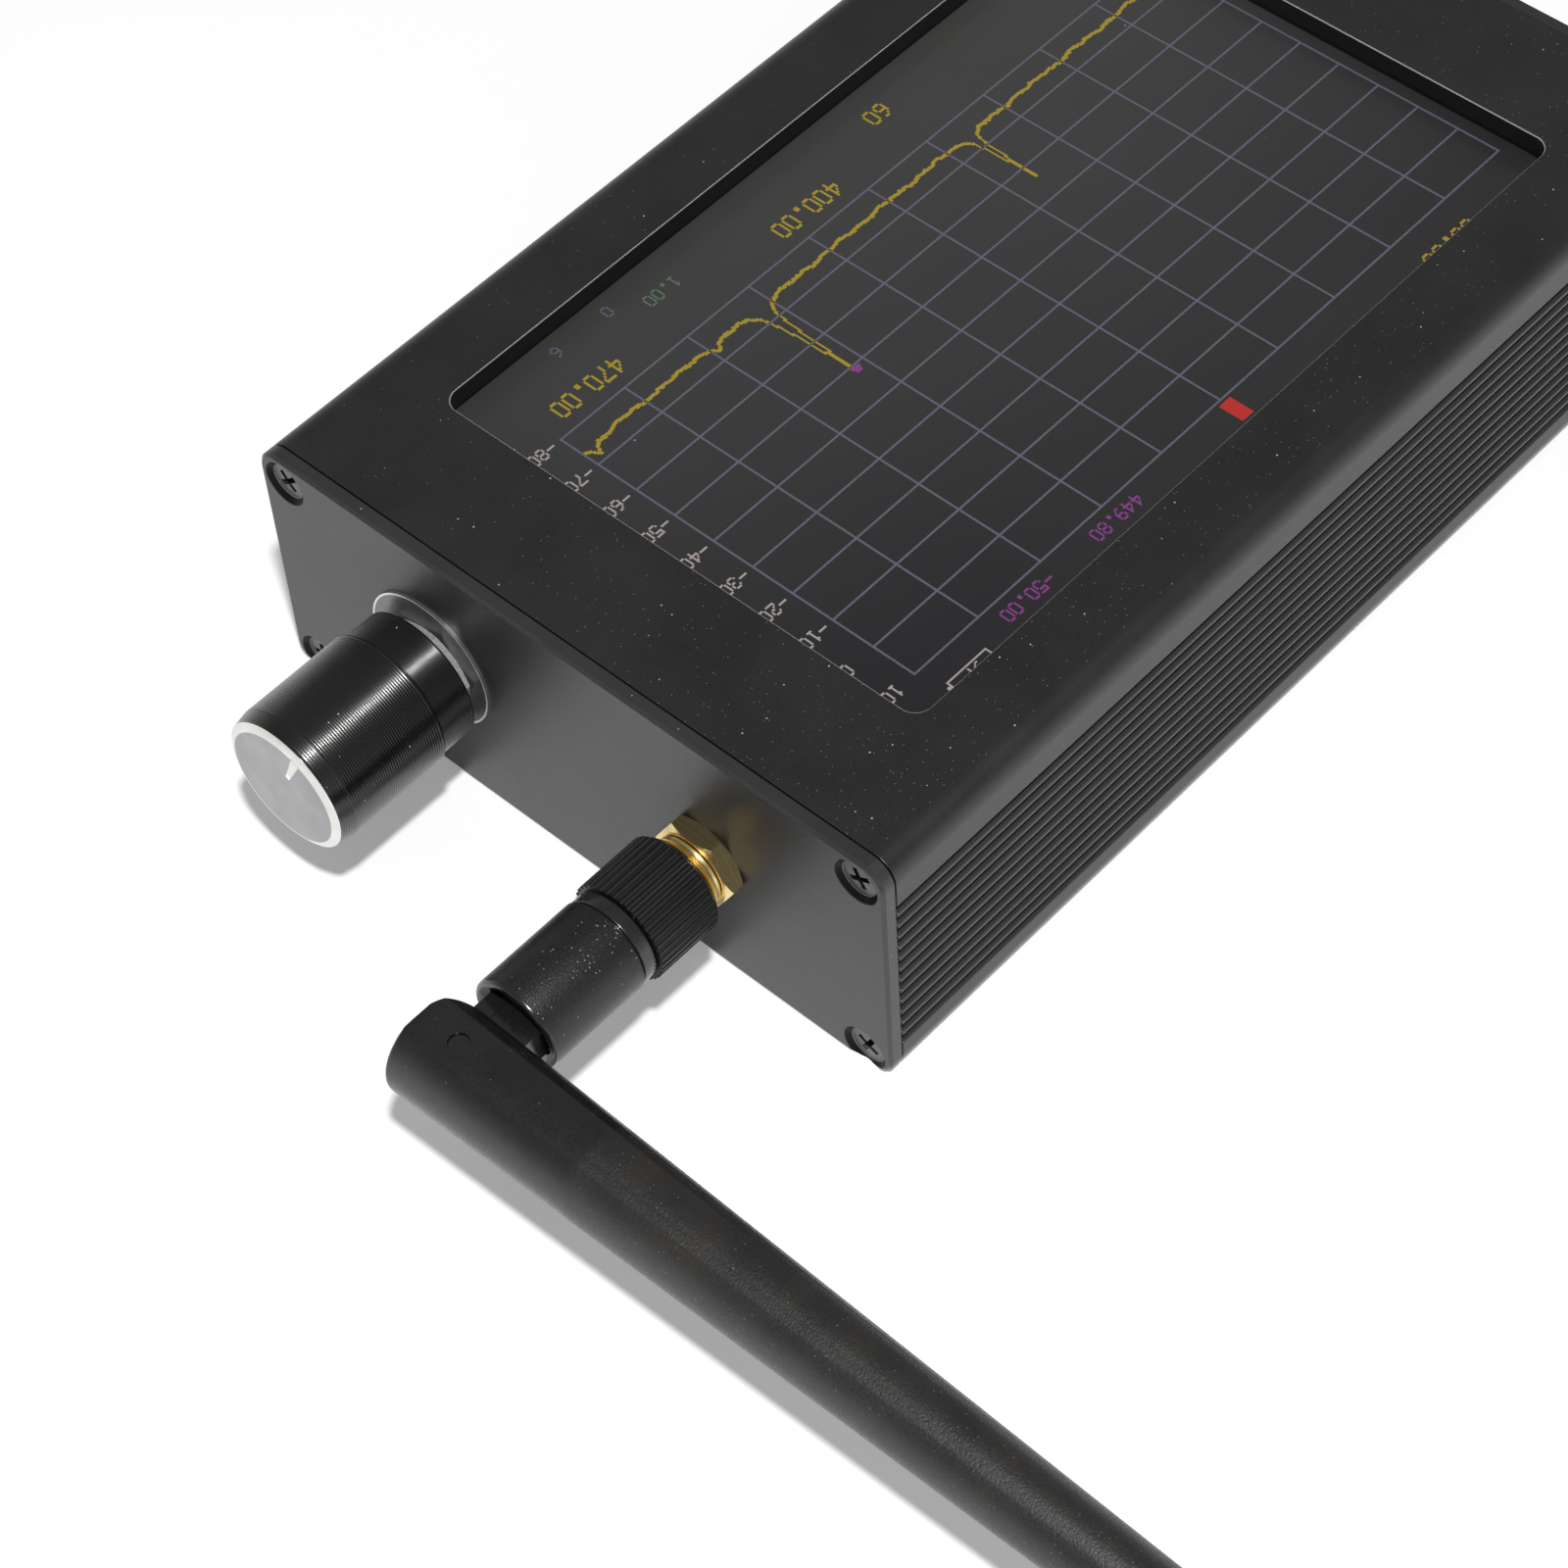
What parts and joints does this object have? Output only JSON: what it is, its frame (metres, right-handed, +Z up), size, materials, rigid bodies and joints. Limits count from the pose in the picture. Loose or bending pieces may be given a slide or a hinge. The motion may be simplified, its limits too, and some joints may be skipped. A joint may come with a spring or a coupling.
{
  "type": "handheld spectrum analyzer",
  "caption": "Handheld spectrum analyzer: grooved metal case with a display window, a push-and-turn knob and a tilting rod antenna.",
  "frame": {"origin": "centre of the case's flat underside, which lies on the table", "axes": "+X out of the control panel, along the case and the knob; +Y to the antenna's side, along the whip as pictured; +Z up through the window"},
  "size_m": [0.1527, 0.1331, 0.0287],
  "materials": {
    "black_case": "matte anodised, fine grain",
    "black_panel": "satin anodised",
    "screw_steel": "dark plated",
    "foam": "closed-cell foam",
    "display_glass": "polariser over display glass",
    "tray_metal": "pressed",
    "green_board": "solder mask",
    "ribbon": "polyimide film",
    "brass_plain": "turned",
    "tin": "tin plate",
    "black_parts": "moulded",
    "battery_foil": "foil pouch",
    "red_wire": "wire cover",
    "led": "tinted lens",
    "zinc": "zinc plated",
    "washer_black": "black with a bare rim",
    "knob_black": "turned, gloss black, bare bevel and front",
    "gold": "gold plated",
    "white_ptfe": "fluoropolymer",
    "black_gloss": "moulded, glossy",
    "antenna_black": "moulded, fine texture",
    "whip_rubber": "matte"
  },
  "bodies": {
    "housing": {"case_tube": "black_case", "front_panel": "black_panel", "rear_panel": "black_panel", "front_panel_screws": "screw_steel", "rear_panel_screws": "screw_steel", "window_gasket": "foam", "display_glass": "display_glass", "display_backlight": "tray_metal", "display_board": "green_board", "display_ribbon": "ribbon", "board_spacers": "brass_plain", "board_screws": "tin", "main_board": "green_board", "shield_cans": "tin", "board_chips": "black_parts", "board_connector": "black_parts", "battery": "battery_foil", "battery_pad": "foam", "battery_lead": "red_wire", "usb_socket": "tin", "switch_body": "tin", "charge_light": "led", "encoder_body": "zinc", "encoder_bushing": "zinc", "encoder_washer": "washer_black", "encoder_nut": "zinc", "encoder_board": "green_board", "encoder_header": "black_parts", "socket_body": "gold", "socket_insulator": "white_ptfe", "socket_contact": "gold", "socket_nut": "gold"},
    "power_slider": {"switch_slider": "black_parts"},
    "encoder_push": {"encoder_plunger": "white_ptfe"},
    "knob": {"encoder_shaft": "zinc", "knob_shell": "knob_black", "knob_core": "black_parts"},
    "coupling": {"coupling_sleeve": "antenna_black", "coupling_thread": "gold"},
    "antenna_base": {"antenna_core": "gold", "antenna_contact": "gold", "antenna_collar": "black_gloss", "antenna_sleeve": "antenna_black", "antenna_knuckle": "black_gloss"},
    "whip": {"hinge_pin": "black_gloss", "antenna_whip": "whip_rubber", "antenna_radiator": "brass_plain"}
  },
  "joints": [
    {"name": "power_switch", "type": "slide", "parent": "housing", "child": "power_slider", "axis": [0, 1, 0], "range_m": [0, 0.002]},
    {"name": "knob_press", "type": "slide", "parent": "housing", "child": "encoder_push", "axis": [-1, 0, 0], "range_m": [0, 0.0005], "stiffness_N_per_m": 4000, "springref_m": -0.0005},
    {"name": "knob_turn", "type": "hinge", "parent": "encoder_push", "child": "knob", "pos_m": [0.0585, -0.01665, 0.01465], "axis": [1, 0, 0], "continuous": true},
    {"name": "coupling_turn", "type": "hinge", "parent": "housing", "child": "coupling", "pos_m": [0.0585, 0.0163, 0.0146], "axis": [1, 0, 0], "continuous": true},
    {"name": "antenna_swivel", "type": "hinge", "parent": "housing", "child": "antenna_base", "pos_m": [0.0585, 0.0163, 0.0146], "axis": [1, 0, 0], "continuous": true},
    {"name": "antenna_elbow", "type": "hinge", "parent": "antenna_base", "child": "whip", "pos_m": [0.08775, 0.0163, 0.0146], "axis": [0, 0, -1], "range_deg": [0, 90]}
  ]
}
